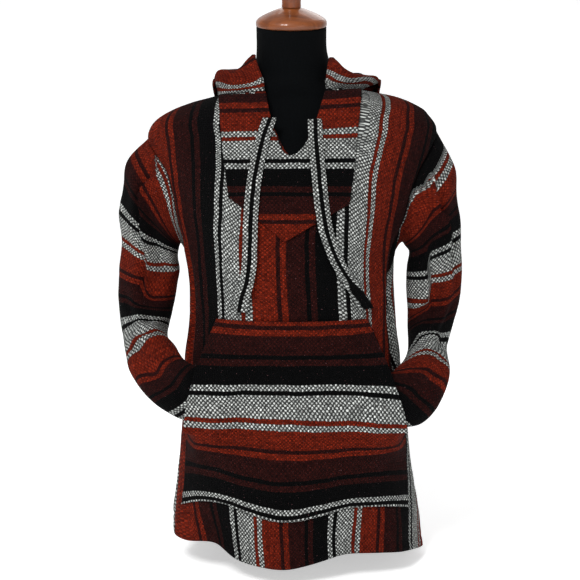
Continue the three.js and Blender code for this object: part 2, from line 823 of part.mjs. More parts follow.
named('front_panel', frontPanel(), RED_CLOTH, hoodie);
named('back_panel', backPanel(), DARK_CLOTH, hoodie);
named('sleeve_right', sleeve(RIGHT_SLEEVE, -1), PALE_CLOTH, hoodie);
named('sleeve_left', sleeve(LEFT_SLEEVE, 1), PALE_CLOTH, hoodie);
named('bib', bib(), DARK_CLOTH, hoodie);
named('pocket', pocket(), DARK_CLOTH, hoodie);
named('hood_right', hoodHalf(-1), PALE_CLOTH, hoodie);
named('hood_left', hoodHalf(1), RED_CLOTH, hoodie);
named('tie_right', tie(RIGHT_TIE), PALE_CLOTH, hoodie);
named('tie_left', tie(LEFT_TIE), PALE_CLOTH, hoodie);

export default hoodie;
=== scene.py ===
# A striped baja hoodie on a limbless dress form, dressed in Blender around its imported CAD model.
# Shapes are worked out in millimetres in the CAD's frame: +Z up, the garment faces -Y, and the wearer's
# left is +X.
import math

import bmesh
import bpy
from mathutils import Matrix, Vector, noise


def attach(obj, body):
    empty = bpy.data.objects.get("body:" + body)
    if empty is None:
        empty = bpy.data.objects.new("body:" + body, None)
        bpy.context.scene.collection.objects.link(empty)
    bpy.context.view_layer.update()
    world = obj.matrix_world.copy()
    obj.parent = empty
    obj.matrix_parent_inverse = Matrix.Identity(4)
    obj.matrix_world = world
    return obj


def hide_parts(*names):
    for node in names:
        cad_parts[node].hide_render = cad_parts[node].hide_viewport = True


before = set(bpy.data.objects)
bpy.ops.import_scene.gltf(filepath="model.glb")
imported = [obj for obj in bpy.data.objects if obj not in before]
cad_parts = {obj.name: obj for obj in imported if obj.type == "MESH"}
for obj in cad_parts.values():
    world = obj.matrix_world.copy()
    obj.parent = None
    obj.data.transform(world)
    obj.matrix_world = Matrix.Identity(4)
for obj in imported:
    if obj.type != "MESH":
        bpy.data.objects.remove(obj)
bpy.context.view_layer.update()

MM = 0.001
IMAGE = 580  # the photograph's width and height in pixels
SENSOR = 36  # mm

# The camera that the photograph was matched with, in millimetres
CAMERA = {"distance": 1650, "elevation": 6, "focus": 1100, "target": Vector((0, 0, 400))}

# Cloth and the clearances between the pieces, as in the CAD
CLOTH = 2.4
SEAM_GAP = 0.4
LAY_GAP = 1.1
REST_GAP = 0.6
NECKLINE = 691
SHOULDER_END = 625
SLIT_FOOT = 597
ARMPIT = 455
VENT_TOP = 118
HEM_LEVEL = 20
QUARTER = math.pi / 2


class Table:
    """Rows of numbers with named columns, read along a smooth curve through the rows."""

    def __init__(self, columns, *rows):
        self.columns = columns.split()
        self.rows = rows
        self.known = {}

    def __call__(self, at):
        at = round(at, 4)
        if at not in self.known:
            self.known[at] = dict(zip(self.columns, self.curve(at)))
        return self.known[at]

    def curve(self, at):
        rows = self.rows
        last = len(rows) - 1
        k = 0
        while k < last - 1 and at > rows[k + 1][0]:
            k += 1
        a, b = rows[k], rows[k + 1]
        before, after = rows[max(k - 1, 0)], rows[min(k + 2, last)]
        span = b[0] - a[0]
        raw = (at - a[0]) / span
        t = clamp(raw, 0, 1)
        values = []
        for n in range(len(self.columns)):
            slope_a = (b[n] - before[n]) / (b[0] - before[0]) * span
            slope_b = (after[n] - a[n]) / (after[0] - a[0]) * span
            inside = (2 * t**3 - 3 * t**2 + 1) * a[n] + (t**3 - 2 * t**2 + t) * slope_a
            inside += (3 * t**2 - 2 * t**3) * b[n] + (t**3 - t**2) * slope_b
            values.append(inside + (raw - t) * (slope_a if raw < 0 else slope_b))
        return values


def mix(a, b, share):
    return a + (b - a) * share


def clamp(value, low, high):
    return min(max(value, low), high)


def smooth(value):
    t = clamp(value, 0, 1)
    return t * t * (3 - 2 * t)


def between(rows, at):
    """The other columns of a table of rows at a value of its first column, along straight lines"""
    for first, second in zip(rows, rows[1:]):
        if at <= second[0]:
            break
    share = (at - first[0]) / (second[0] - first[0])
    values = [mix(a, b, share) for a, b in zip(first[1:], second[1:])]
    return values if len(values) > 1 else values[0]


# The body as rings, from the CAD
BODY = Table(
    "level side back half front rear shift",
    (20, 20, 16, 190, 150, 140, 12),
    (62, 62, 60, 189, 149, 138, 9),
    (110, 110, 110, 181, 147, 135, 8),
    (185, 185, 185, 171, 146, 128, 7),
    (300, 300, 300, 162, 140, 115, 4),
    (370, 370, 370, 154, 134, 108, 4),
    (455, 455, 455, 156, 132, 112, 0),
    (530, 530, 535, 184, 124, 118, 2),
    (590, 592, 600, 207, 106, 112, 4),
    (625, 634, 642, 213, 92, 105, 3),
    (641, 651, 656, 205, 85, 99, 0),
    (655, 664, 668, 192, 80, 92, 0),
    (672, 679, 685, 158, 71, 82, 0),
    (691, 692, 701, 106, 62, 70, 0),
)
TILT = {"slope": 0.04, "from": 560, "to": 650}
ARMHOLE = Table(
    "level front rear",
    (455, 0, 0),
    (485, 12, 9),
    (512, 19, 15),
    (545, 24, 18),
    (580, 24, 18),
    (606, 14, 12),
    (625, 0, 0),
)
FRONT_HEM = Table(
    "turn height",
    (-90, 54), (-80, 46), (-64, 41), (-43, 46), (-30, 32), (-18, 27),
    (-4, 24), (19, 38), (34, 36), (48, 30), (77, 13), (90, 10),
)
BACK_HEM = Table("turn height", (90, 12), (130, 20), (180, 16), (230, 22), (270, 40))
SIDE_SEAM = Table(
    "level forward",
    (20, 0), (110, 7), (214, 14), (300, 25), (400, 25), (435, 12), (455, 0),
)
VENT = {"front_right": 18, "front_left": 4, "rear": 2}

# Folds: turn, turn at the top, low, high, width, rise
BODY_FOLDS = (
    (68, 74, 250, 520, 9, -12),
    (-72, -76, 260, 500, 10, -10),
    (54, 62, 340, 520, 13, 5),
    (-56, -62, 350, 500, 14, 5),
    (-15, -6, -40, 110, 38, 9),
    (-42, -38, -40, 120, 24, -9),
    (24, 20, -40, 110, 26, -8),
    (52, 44, -40, 120, 26, 8),
    (-70, -62, -20, 130, 22, 5),
    (150, 146, 60, 470, 22, -8),
    (172, 176, 0, 420, 26, 8),
    (196, 190, 40, 480, 22, -9),
    (216, 220, 20, 400, 22, 7),
    (128, 132, 20, 420, 20, 7),
    (108, 112, 0, 420, 16, -8),
    (250, 246, 0, 440, 16, -8),
)
FOLD_FADE = 70
FOLD_REACH = 150

SLIT = {-1: 35, 1: 50.5, "power": 0.5}
BIB_TOP = 685
BIB_TIP = {"x": -8, "level": 479}
BIB_CORNER = {-1: 540, 1: 531}
BIB_EDGE = Table("level right left", (531, -83.5, 82), (610, -94, 93), (BIB_TOP, -102, 102))
POCKET_TOP = 370
MOUTH_FOOT = 199
POCKET_HEM = Table(
    "share height",
    (0, 92), (0.13, 106), (0.24, 108), (0.32, 100), (0.42, 91),
    (0.5, 91), (0.59, 98), (0.7, 106), (0.85, 100), (1, 88),
)
POCKET_EDGE = Table(
    "level right left",
    (94, -154, 170),
    (MOUTH_FOOT, -149, 165),
    (290, -133, 141),
    (370, -102, 108),
)
SPAN = {"lead": 6, "backing": 11, "breadth": 150, "foot": 150, "top": 356, "reach": 62, "fade": 60}

# Sleeve sections: x y z lean half depth
RIGHT_SLEEVE = (
    (201.5, 1, 533, 58, 72.5, 50),
    (207, 2, 508, 50, 63, 50),
    (211, 2, 482, 37, 55, 46),
    (208, 3, 452, 27, 48.5, 43),
    (212.5, 5, 421, 16, 45, 42),
    (216.5, 7, 386, 8, 42.5, 41),
    (219, 3, 351, 0, 37, 41),
    (216, -12, 325, -19, 33, 40),
    (201, -42, 301, -37, 38, 34),
    (181, -75, 281, -47, 38, 26),
    (157, -100, 270, -56, 39, 20),
    (134, -114, 260, -62, 37, 14),
    (109, -124, 250, -66, 28, 9),
)
LEFT_SLEEVE = (
    (206, 1, 527, 54.5, 66.5, 50),
    (210, 2, 504, 45, 54, 50),
    (216, 2, 482, 31, 45, 46),
    (215.5, 3, 453, 21, 43, 43),
    (216.5, 5, 426, 10, 42.5, 42),
    (216, 7, 386, 2, 40, 41),
    (212, 3, 350, -3, 35, 41),
    (206, -12, 317, -6, 29, 40),
    (201, -44, 290, -27, 35, 34),
    (184, -80, 268, -46, 41, 26),
    (163, -104, 255, -56, 42, 20),
    (141, -118, 249, -60, 37, 14),
    (117, -127, 243, -64, 28, 9),
)
SLEEVE_FOLDS = (
    (28, 52, 0.5, 5.5, 16, -5),
    (70, 84, 1, 6, 15, 4),
    (120, 100, 2, 7, 14, -5),
    (20, 60, 6, 9, 16, -5),
    (100, 140, 6.5, 9.5, 16, 4),
    (60, 110, 8, 12, 16, -4),
    (210, 230, 1, 7, 20, -6),
    (290, 280, 1, 6, 22, 5),
    (250, 250, 6, 10, 18, -5),
)
SLEEVE_FADE = 1.2
SLEEVE_REACH = 42

HOOD = Table(
    "way cx cy cz ix iy iz bx by bz ox oy oz ex ey ez",
    (0, 42, -58, 705, 44, -55, 716, 46, -50, 727, 48, -44, 737, 50, -36, 744),
    (0.09, 56, -54, 705, 59, -51, 716, 62, -46, 726, 61, -38, 736, 56, -28, 743),
    (0.2, 76, -48, 706, 80, -46, 716, 80, -40, 721, 74, -30, 725, 62, -17, 729),
    (0.42, 111, 0, 706, 114, 6, 714, 114, 14, 720, 106, 22, 724, 80, 24, 728),
    (0.62, 108, 46, 714, 114, 76, 700, 114, 102, 664, 118, 112, 698, 98, 84, 726),
    (0.82, 72, 82, 728, 90, 124, 634, 84, 142, 546, 98, 172, 636, 72, 130, 728),
    (1, 0, 92, 736, 0, 128, 620, 0, 156, 500, 0, 194, 600, 0, 162, 726),
)
HOOD_SPREAD = {-1: 0.97, 1: 1.14}
# How far the front corners lean to the left at the foot and at the top, how far they dip and the crest sags
HOOD_CORNER = {-1: (5, -1, 0, 0), 1: (8, 7, 4, 11.5)}
HOOD_LOW, HOOD_HIGH, CORNER_REACH, SAG_AT, SAG_WIDTH = 705, 732, 0.35, 0.33, 0.13

TIE = {"width": 20, "depth": 4, "lift": 6.6}
RIGHT_TIE = (
    (-28, 650), (-37, 620), (-46, 578), (-51, 538), (-53, 503),
    (-53.5, 474), (-54, 450), (-58, 422), (-64, 401), (-68, 382),
)
LEFT_TIE = (
    (34, 646), (36, 606), (39, 568), (43.5, 521), (50.5, 485),
    (64, 450), (82, 420), (97, 397), (104, 384),
)

# The form's rings. The trunk: level side back half front rear. The shoulders: level and how much narrower
# than the body they are. The neck: as the trunk, and its shift.
FORM_TRUNK = (
    (0, 0, 0, 74, 58, 74),
    (26, 26, 26, 78, 60, 76),
    (44, 44, 44, 128, 92, 96),
    (62, 62, 62, 152, 110, 108),
    (90, 90, 90, 160, 117, 112),
    (140, 140, 140, 160, 118, 114),
    (235, 235, 235, 137, 104, 96),
    (330, 330, 330, 112, 92, 77),
    (410, 410, 410, 124, 106, 84),
    (485, 485, 490, 141, 121, 99),
    (550, 552, 560, 156, 110, 105),
    (600, 602, 612, 176, 94, 101),
)
FORM_SHOULDERS = ((622, 0.82), (638, 0.89), (653, 0.96), (664, 1), (676, 1), (687, 0.96))
FORM_NECK = (
    (700, 705, 713, 64, 51, 52, 1),
    (713, 720, 731, 56, 47, 46, 4),
    (732, 740, 751, 53.4, 47, 46, 3.6),
    (747, 756, 768, 51.4, 47, 46, 2.4),
    (775.1, 787.5, 799.9, 51.3, 48, 48, 2),
)
CHEST_SLACK = 13
HEAD = {"foot": 787.8, "lean": 14.5, "x": 2}


def fold_rise(folds, turn, level, fade, reach):
    rise = 0
    for first, second, low, high, width, height in folds:
        if not low < level < high:
            continue
        share = (level - low) / (high - low)
        middle = math.radians(mix(first, second, share))
        away = math.atan2(math.sin(turn - middle), math.cos(turn - middle)) * reach
        ends = smooth((level - low) / fade) * smooth((high - level) / fade)
        rise += height * ends * math.exp(-((away / width) ** 2))
    return rise


def ring_point(level, side, back, half, front, rear, shift, turn, bow=2):
    c = math.cos(turn)
    near = c > 0
    return Vector((
        shift + half * math.sin(turn),
        -(front if near else rear) * c,
        side + ((level if near else back) - side) * abs(c) ** bow,
    ))


def body_ring(turn, level):
    point = ring_point(turn=turn, **BODY(level))
    point.z += TILT["slope"] * point.x * smooth((level - TILT["from"]) / (TILT["to"] - TILT["from"]))
    return point


def body_normal(turn, level):
    along = body_ring(turn + 0.01, level) - body_ring(turn - 0.01, level)
    up = body_ring(turn, level + 1.5) - body_ring(turn, level - 1.5)
    return along.cross(up).normalized()


# The hand of this soft cloth: shallow uneven swells, their size and height in millimetres
SWELLS = ((70, 1.3), (28, 0.7), (12, 0.3))


def swell(place):
    return sum(height * noise.noise(place / size) for size, height in SWELLS)


def body_point(turn, level, lift=0):
    rise = fold_rise(BODY_FOLDS, turn, level, FOLD_FADE, FOLD_REACH)
    ring = body_ring(turn, level)
    return ring + body_normal(turn, level) * (rise + lift + swell(ring))


def turn_at(x, level):
    row = BODY(level)
    return math.asin(clamp((x - row["shift"]) / row["half"], -1, 1))


def slit_at(level, side):
    share = clamp((level - SLIT_FOOT) / (NECKLINE - SLIT_FOOT), 0, 1)
    return SLIT[side] * share ** SLIT["power"]


def seam_turn(level, side, piece):
    gap = SEAM_GAP / 2 / BODY(level)[piece]
    in_armhole = ARMPIT < level < SHOULDER_END
    dip = math.radians(ARMHOLE(level)[piece]) if in_armhole else 0
    opened = math.radians(smooth((VENT_TOP - level) / (VENT_TOP - HEM_LEVEL)))
    forward = math.radians(SIDE_SEAM(level)["forward"]) if side > 0 and level < ARMPIT else 0
    if piece == "front":
        vent = VENT["front_right" if side < 0 else "front_left"]
        return side * (QUARTER - gap - dip - vent * opened - forward)
    return side * (QUARTER + gap + dip + VENT["rear"] * opened - forward)


# Making cloth

def cloth(name, columns, rows, place, cut, split=False):
    """A thin shell from a plain grid. place gives each grid point its place, and cut gives the point's
    place in the woven cloth, first across its stripes and then along them, in millimetres, from the
    lengths measured on the shell. A split grid is open in the middle."""
    mesh = bmesh.new()
    bmesh.ops.create_grid(mesh, x_segments=columns, y_segments=rows, size=0.5)
    spots = {}
    for vertex in mesh.verts:
        i = round((vertex.co.x + 0.5) * columns)
        j = round((vertex.co.y + 0.5) * rows)
        vertex.co = place(i / columns, j / rows)
        spots[vertex] = (i, j)
    at = {spot: vertex.co.copy() for vertex, spot in spots.items()}
    middle = columns // 2
    across, along = {}, {}
    for j in range(rows + 1):
        across[middle, j] = 0.0
        for i in range(middle + 1, columns + 1):
            across[i, j] = across[i - 1, j] + (at[i, j] - at[i - 1, j]).length
        for i in range(middle - 1, -1, -1):
            across[i, j] = across[i + 1, j] - (at[i, j] - at[i + 1, j]).length
    for i in range(columns + 1):
        along[i, 0] = 0.0
        for j in range(1, rows + 1):
            along[i, j] = along[i, j - 1] + (at[i, j] - at[i, j - 1]).length
    rows_mean = [sum(along[i, j] for i in range(columns + 1)) / (columns + 1) for j in range(rows + 1)]
    layer = mesh.loops.layers.uv.new("cut")
    for face in mesh.faces:
        for loop in face.loops:
            i, j = spots[loop.vert]
            loop[layer].uv = Vector(cut(i, j, across[i, j], along[i, j], rows_mean[j], at[i, j])) * MM
    if split:
        gap = [face for face in mesh.faces if {spots[v][0] for v in face.verts} == {middle, middle + 1}]
        bmesh.ops.delete(mesh, geom=gap, context="FACES_ONLY")
    bmesh.ops.scale(mesh, vec=(MM, MM, MM), verts=mesh.verts)
    bmesh.ops.remove_doubles(mesh, verts=mesh.verts, dist=2e-6)
    return finish_piece(name, mesh, SERAPE, wall=CLOTH * MM)


def finish_piece(name, mesh, material, wall=0):
    data = bpy.data.meshes.new(name)
    mesh.to_mesh(data)
    mesh.free()
    data.shade_smooth()
    piece = bpy.data.objects.new(name, data)
    bpy.context.scene.collection.objects.link(piece)
    data.materials.append(material)
    if wall:
        shell = piece.modifiers.new("wall", "SOLIDIFY")
        shell.thickness = wall
        shell.offset = -1
        shell.use_rim = True
    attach(piece, "root")
    return piece


# Materials

def linear(colour):
    """An sRGB hex colour as linear red, green, blue and alpha."""
    parts = [int(colour[k:k + 2], 16) / 255 for k in (0, 2, 4)]
    return [c / 12.92 if c <= 0.04045 else ((c + 0.055) / 1.055) ** 2.4 for c in parts] + [1]


def wire(tree, kind, inputs=None, output=0, **settings):
    """Adds a node with its settings and links, and gives back the output that is asked for."""
    made = tree.nodes.new("ShaderNode" + kind)
    for name, value in settings.items():
        setattr(made, name, value)
    for socket, value in (inputs or {}).items():
        if isinstance(value, bpy.types.NodeSocket):
            tree.links.new(value, made.inputs[socket])
        else:
            made.inputs[socket].default_value = value
    return made if output is None else made.outputs[output]


def new_material(name):
    material = bpy.data.materials.new(name)
    material.use_nodes = True
    tree = material.node_tree
    tree.nodes.clear()
    return material, tree


def close_material(tree, **inputs):
    named = {key.replace("_", " "): value for key, value in inputs.items()}
    shader = wire(tree, "BsdfPrincipled", named)
    wire(tree, "OutputMaterial", {"Surface": shader}, output=None)


THREAD = 2.9  # mm between two threads of the coarse weave
WHITE, RUST, MAROON, BLACK = "e0e4e0", "842713", "35120f", "050505"
STRIPES = (
    (3, WHITE), (2, BLACK), (10, WHITE), (2, RUST), (3, WHITE), (10, RUST),
    (2, MAROON), (3, RUST), (9, MAROON), (2, BLACK), (3, MAROON), (9, BLACK),
)
REPEAT = sum(count for count, _ in STRIPES)


def stripe_colours(tree, share):
    """The colour at a share of the repeat, from the counted threads of each stripe"""
    ramp = wire(tree, "ValToRGB", {0: share}, output=None)
    ramp.color_ramp.interpolation = "CONSTANT"
    stops = ramp.color_ramp.elements
    start = 0
    for k, (count, colour) in enumerate(STRIPES):
        stop = stops[k] if k < 2 else stops.new(start / REPEAT)
        stop.position = start / REPEAT
        stop.color = linear(colour)
        start += count
    return ramp.outputs[0]


def serape_cloth():
    """Blanket cloth, plain-woven from thick napped yarn, acrylic and recycled cotton. The coloured warp
    shows as rows of ovals with the black weft between them, and the nap blurs both."""
    material, tree = new_material("serape_blanket_cloth")
    uv = wire(tree, "UVMap", uv_map="cut")
    drift = wire(tree, "TexNoise", {"Vector": uv, "Scale": 30.0, "Detail": 1.0}, output="Color")
    jitter = wire(tree, "TexNoise", {"Vector": uv, "Scale": 260.0, "Detail": 1.0}, output="Color")
    wide = wire(tree, "VectorMath", {0: drift, 1: (0.5, 0.5, 0.5)}, operation="SUBTRACT")
    fine = wire(tree, "VectorMath", {0: jitter, 1: (0.5, 0.5, 0.5)}, operation="SUBTRACT")
    moved = wire(tree, "VectorMath", {0: wide, 1: (0.003, 0.006, 0), 2: uv}, operation="MULTIPLY_ADD")
    moved = wire(tree, "VectorMath", {0: fine, 1: (0.0022, 0.0026, 0), 2: moved}, operation="MULTIPLY_ADD")
    threads = wire(tree, "VectorMath", {0: moved, "Scale": 1 / (THREAD * MM)}, operation="SCALE")
    split = wire(tree, "SeparateXYZ", {0: threads}, output=None)
    number = wire(tree, "Math", {0: split.outputs["X"]}, operation="FLOOR")
    middle = wire(tree, "Math", {0: number, 1: 0.5}, operation="ADD")
    turn = wire(tree, "Math", {0: middle, 1: 1.0 / REPEAT}, operation="MULTIPLY")
    share = wire(tree, "Math", {0: turn}, operation="FRACT")
    warp = stripe_colours(tree, share)
    # Each thread has its own shade, which also changes slowly along it.
    streak_at = wire(tree, "CombineXYZ", {0: number, 1: split.outputs["Y"]})
    streak_at = wire(tree, "VectorMath", {0: streak_at, 1: (1.0, 0.09, 1.0)}, operation="MULTIPLY")
    streak = wire(tree, "TexNoise", {"Vector": streak_at, "Scale": 0.9, "Detail": 2.0})
    shade = wire(tree, "MapRange", {0: streak, 1: 0.3, 2: 0.7, 3: 0.74, 4: 1.2})
    warp = wire(tree, "VectorMath", {0: warp, "Scale": shade}, operation="SCALE")
    # Warp over weft where both sines have the same sign
    waves = []
    for axis in ("X", "Y"):
        angle = wire(tree, "Math", {0: split.outputs[axis], 1: math.pi}, operation="MULTIPLY")
        waves.append(wire(tree, "Math", {0: angle}, operation="SINE"))
    checks = wire(tree, "Math", {0: waves[0], 1: waves[1]}, operation="MULTIPLY")
    over = wire(tree, "MapRange", {0: checks, 1: 0.0, 2: 0.36, 3: 0.0, 4: 1.0},
                interpolation_type="SMOOTHSTEP")
    # No two loops of yarn catch the light alike.
    cell = wire(tree, "VectorMath", {0: threads}, operation="FLOOR")
    loop = wire(tree, "TexWhiteNoise", {"Vector": cell}, output="Value")
    loop = wire(tree, "MapRange", {0: loop, 3: 0.5, 4: 1.15})
    warp = wire(tree, "VectorMath", {0: warp, "Scale": loop}, operation="SCALE")
    # The weft is black, and the coloured nap covers it more in the darker stripes, so that only the
    # white ones look like salt and pepper.
    nap = wire(tree, "TexNoise", {"Vector": uv, "Scale": 900.0, "Detail": 3.0, "Roughness": 0.7})
    tint = wire(tree, "RGBToBW", {0: warp})
    cover = wire(tree, "MapRange", {0: tint, 1: 0.12, 2: 0.4, 3: 0.95, 4: 0.16})
    veil = wire(tree, "MapRange", {0: nap, 1: 0.3, 2: 0.7, 3: 0.2, 4: 0.85})
    veil = wire(tree, "Math", {0: veil, 1: cover}, operation="MULTIPLY")
    weft = wire(tree, "Mix", {"Factor": veil, "A": linear("050507"), "B": warp}, data_type="RGBA", output=2)
    woven = wire(tree, "Mix", {"Factor": over, "A": weft, "B": warp}, data_type="RGBA", output=2)
    # Lint of other colours caught in the nap
    lint = wire(tree, "TexNoise", {"Vector": uv, "Scale": 420.0, "Detail": 2.0})
    lint = wire(tree, "MapRange", {0: lint, 1: 0.7, 2: 0.78, 3: 0.0, 4: 0.55})
    woven = wire(tree, "Mix", {"Factor": lint, "A": woven, "B": linear("a8757a")}, data_type="RGBA", output=2)
    dome = wire(tree, "Math", {0: checks}, operation="ABSOLUTE")
    raised = wire(tree, "Math", {0: over, 1: 0.5, 2: dome}, operation="MULTIPLY_ADD")
    height = wire(tree, "Math", {0: nap, 1: 0.9, 2: raised}, operation="MULTIPLY_ADD")
    bump = wire(tree, "Bump", {"Height": height, "Strength": 1.0, "Distance": 0.0012})
    close_material(
        tree, Base_Color=woven, Roughness=0.95, Specular_IOR_Level=0.03, Sheen_Weight=0.01,
        Sheen_Roughness=0.6, Normal=bump,
    )
    return material


def black_jersey():
    """Cotton and elastane jersey, knitted fine and pulled tight over the form: almost flat black, with a
    faint vertical rib and a soft sheen at the edges."""
    material, tree = new_material("black_knit_jersey")
    place = wire(tree, "TexCoord", output="Object")
    wales = wire(tree, "TexWave", {"Vector": place, "Scale": 160.0, "Distortion": 1.5, "Detail": 1.0},
                 bands_direction="X")
    lint = wire(tree, "TexNoise", {"Vector": place, "Scale": 700.0, "Detail": 3.0})
    speck = wire(tree, "MapRange", {0: lint, 1: 0.45, 2: 0.8, 3: 0.0, 4: 0.5})
    colour = wire(tree, "Mix", {"Factor": speck, "A": linear("050607"), "B": linear("0d1013")},
                  data_type="RGBA", output=2)
    height = wire(tree, "Math", {0: lint, 1: 0.8, 2: wales}, operation="MULTIPLY_ADD")
    bump = wire(tree, "Bump", {"Height": height, "Strength": 0.35, "Distance": 0.0003})
    close_material(tree, Base_Color=colour, Roughness=0.9, Specular_IOR_Level=0.04, Sheen_Weight=0.01,
                   Sheen_Roughness=0.5, Normal=bump)
    return material


def varnished_wood(name, light, dark, rings):
    """Turned beech, stained orange brown and varnished: rings round the turning, fine dark pores along
    the grain and a clear glossy coat."""
    material, tree = new_material(name)
    place = wire(tree, "TexCoord", output="Object")
    long = wire(tree, "Mapping", {"Vector": place, "Scale": rings})
    grain = wire(tree, "TexNoise", {"Vector": long, "Scale": 1.0, "Detail": 6.0, "Roughness": 0.62,
                                    "Distortion": 0.8})
    cloud = wire(tree, "TexNoise", {"Vector": place, "Scale": 22.0, "Detail": 2.0})
    both = wire(tree, "Math", {0: cloud, 1: 0.45, 2: grain}, operation="MULTIPLY_ADD")
    tone = wire(tree, "MapRange", {0: both, 1: 0.5, 2: 0.92, 3: 0.0, 4: 1.0})
    colour = wire(tree, "Mix", {"Factor": tone, "A": linear(dark), "B": linear(light)},
                  data_type="RGBA", output=2)
    pores = wire(tree, "TexNoise", {"Vector": long, "Scale": 9.0, "Detail": 2.0})
    dots = wire(tree, "MapRange", {0: pores, 1: 0.62, 2: 0.72, 3: 0.0, 4: 0.4})
    colour = wire(tree, "Mix", {"Factor": dots, "A": colour, "B": linear("4a220c")},
                  data_type="RGBA", output=2)
    bump = wire(tree, "Bump", {"Height": pores, "Strength": 0.12, "Distance": 0.0004})
    close_material(tree, Base_Color=colour, Roughness=0.5, Specular_IOR_Level=0.3, Coat_Weight=0.5,
                   Coat_Roughness=0.08, Normal=bump)
    return material


SERAPE = serape_cloth()
JERSEY = black_jersey()
CAP_WOOD = varnished_wood("stained_beech_cap", "8a4a20", "56290f", (14, 60, 60))
FINIAL_WOOD = varnished_wood("stained_beech_finial", "86400d", "4d1f03", (90, 90, 14))


# The front and the back

HEM = {"band": 13, "rise": 0.7, "stitch": 1.0}
# Across the front, the stripes gather towards the hem and lean outwards on the left shoulder.
FRONT_GRAIN = Table(
    "level scale shift",
    (0, 1.22, 8),
    (96, 1.14, 6),
    (230, 1.02, 0),
    (370, 1, 0),
    (700, 1, 0),
)
LEFT_LEAN = Table("level lean", (0, 0), (560, 0), (600, 9), (640, 24), (691, 38))
# They spread where the waist turns away at both sides: how far, by height, and where across
FRONT_SPREAD = (
    (0, 0), (110, 0), (230, 9), (300, 10.5), (355, 10.5), (440, 9), (490, 8), (555, 4.5), (600, 3), (700, 2),
)
SPREAD_ACROSS = {-1: (22, 74, 96, 140), 1: (48, 84, 100, 140)}
# The cloth eases together where it turns round the right side.
RIGHT_EASE = {"from": -262, "share": 0.7}
# From the centre to where the first white stripe starts, in millimetres
FRONT_START = 61
BACK_START = 56
# The back's stripes lean over from the waist up, towards the wearer's left
BACK_WAIST = {"lean": 30, "reach": 140, "from": 150, "fade": 100}

PANEL_ROWS = (88, 48, 16, 20)
STRETCHES = (ARMPIT, SLIT_FOOT, SHOULDER_END, NECKLINE)


def level_of_row(row, hem):
    low = hem
    for count, high in zip(PANEL_ROWS, STRETCHES):
        if row <= count:
            return mix(low, high, row / count)
        row -= count
        low = high
    return low


def hem_lift(distance):
    """A turned hem: a double layer that ends at a line of stitches"""
    stitch = math.exp(-(((distance - HEM["band"]) / 2.2) ** 2))
    return HEM["rise"] * smooth((HEM["band"] - distance) / 3) - HEM["stitch"] * stitch


def seam_dip(distance):
    """The cloth rolls in towards a seam."""
    return -2.0 * math.exp(-((distance / 5) ** 2))


FRONT_HALF = 62


def front_panel():
    rows = sum(PANEL_ROWS)
    columns = 2 * FRONT_HALF + 1

    def place(u, v):
        i = round(u * columns)
        side = -1 if i <= FRONT_HALF else 1
        share = (i if side < 0 else columns - i) / FRONT_HALF
        row = v * rows
        hem = FRONT_HEM(side * 80 * (1 - share))["height"]
        level = level_of_row(row, hem)
        edge = seam_turn(level, side, "front")
        opened = slit_at(level, side) + BODY(level)["shift"]
        centre = side * turn_at(opened, level) if level > SLIT_FOOT else 0
        turn = mix(edge, centre, share)
        lift = hem_lift(level - hem) + seam_dip(abs(edge - turn) * BODY(level)["half"] * 0.9)
        return body_point(turn, level, lift)

    def cut(i, j, across, along, mean, at):
        level = level_of_row(j, HEM_LEVEL)
        lean = LEFT_LEAN(level)["lean"] * smooth((at.x - 84) / 34)
        across -= slit_at(level, -1)
        grain = FRONT_GRAIN(level)
        side = -1 if across < 0 else 1
        start, full, hold, end = SPREAD_ACROSS[side]
        spread = smooth((abs(across) - start) / (full - start)) * smooth((end - abs(across)) / (end - hold))
        across -= side * between(FRONT_SPREAD, level) * spread
        stripe = across * grain["scale"] + grain["shift"] - lean - FRONT_START
        return stripe + RIGHT_EASE["share"] * max(RIGHT_EASE["from"] - stripe, 0), along

    piece = cloth("hoodie_front", columns, rows, place, cut, split=True)
    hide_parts("front_panel")
    return piece


def back_panel():
    rows = sum(PANEL_ROWS)
    columns = 120

    def place(u, v):
        hem = BACK_HEM(mix(90, 270, u))["height"]
        level = level_of_row(v * rows, hem)
        first, last = seam_turn(level, 1, "rear"), 2 * math.pi + seam_turn(level, -1, "rear")
        turn = mix(first, last, u)
        near = min(turn - first, last - turn) * BODY(level)["half"] * 0.9
        return body_point(turn, level, hem_lift(level - hem) + seam_dip(near))

    def cut(i, j, across, along, mean, at):
        waist = smooth((level_of_row(j, HEM_LEVEL) - BACK_WAIST["from"]) / BACK_WAIST["fade"])
        lean = BACK_WAIST["lean"] * (smooth(-across / BACK_WAIST["reach"]) * waist)
        return across - BACK_START - lean, along

    piece = cloth("hoodie_back", columns, rows, place, cut)
    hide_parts("back_panel")
    return piece


# What lies on the front

BIB_START = 579  # the level where the first white stripe starts
BIB_DRAW = 1.09  # how much closer its stripes lie than they are woven


